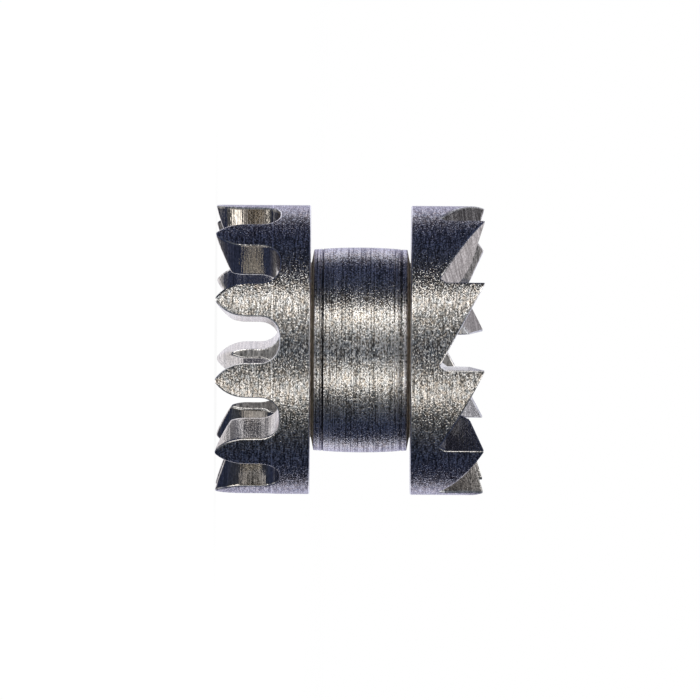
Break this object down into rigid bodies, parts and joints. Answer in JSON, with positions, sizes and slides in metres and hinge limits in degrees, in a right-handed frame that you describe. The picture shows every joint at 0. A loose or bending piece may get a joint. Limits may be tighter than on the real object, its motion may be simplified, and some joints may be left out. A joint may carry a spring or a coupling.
{
  "type": "sliding pinion",
  "caption": "Watch sliding pinion: a steel spool with pointed crown teeth at one end, slanted ratchet teeth at the other, a yoke groove round its waist and a square bore for the stem.",
  "frame": {"origin": "on the pinion's axis, in the plane of the crown tooth tips that it stands on", "axes": "+Z along the axis from the crown teeth to the ratchet teeth; -Y towards the side that the picture shows"},
  "size_m": [0.0022, 0.0022, 0.002],
  "materials": {
    "steel": "hardened steel, fine turning lines round the rims and the waist, milled tooth flanks"
  },
  "bodies": {
    "root": {"sliding_pinion": "steel"}
  },
  "joints": []
}
